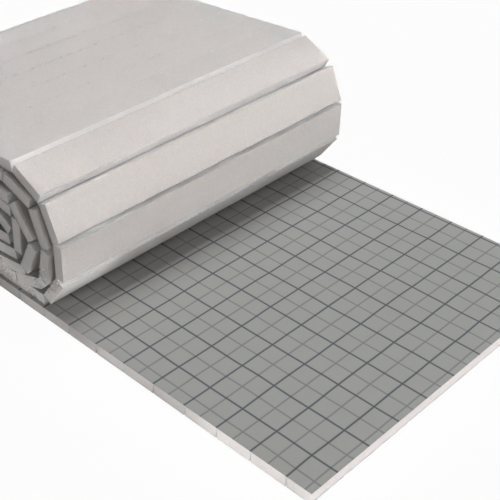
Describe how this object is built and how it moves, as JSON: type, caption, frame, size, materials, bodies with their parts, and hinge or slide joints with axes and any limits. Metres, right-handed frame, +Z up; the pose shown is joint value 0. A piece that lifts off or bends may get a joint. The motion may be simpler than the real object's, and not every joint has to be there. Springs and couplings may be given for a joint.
{
  "type": "insulation roll",
  "caption": "Partly unrolled underfloor insulation: white foam slats on a grey grid-printed foil, wound in a flattened oval with the free end laid flat.",
  "frame": {"origin": "middle of the object's box at floor level, under the strip that the roll lies on", "axes": "+Y along the strip from its free end to the roll, +Z up, +X across the strip to the right as seen from the free end"},
  "size_m": [1.022, 1.793, 0.4085],
  "materials": {
    "foam": "matte",
    "foil": "satin"
  },
  "bodies": {
    "root": {"laid_slats": "foam", "turn_1_slats": "foam", "turn_2_slats": "foam", "turn_3_slats": "foam", "turn_4_slats": "foam", "turn_5_slats": "foam", "turn_6_slats": "foam", "grid_foil": "foil"}
  },
  "joints": []
}
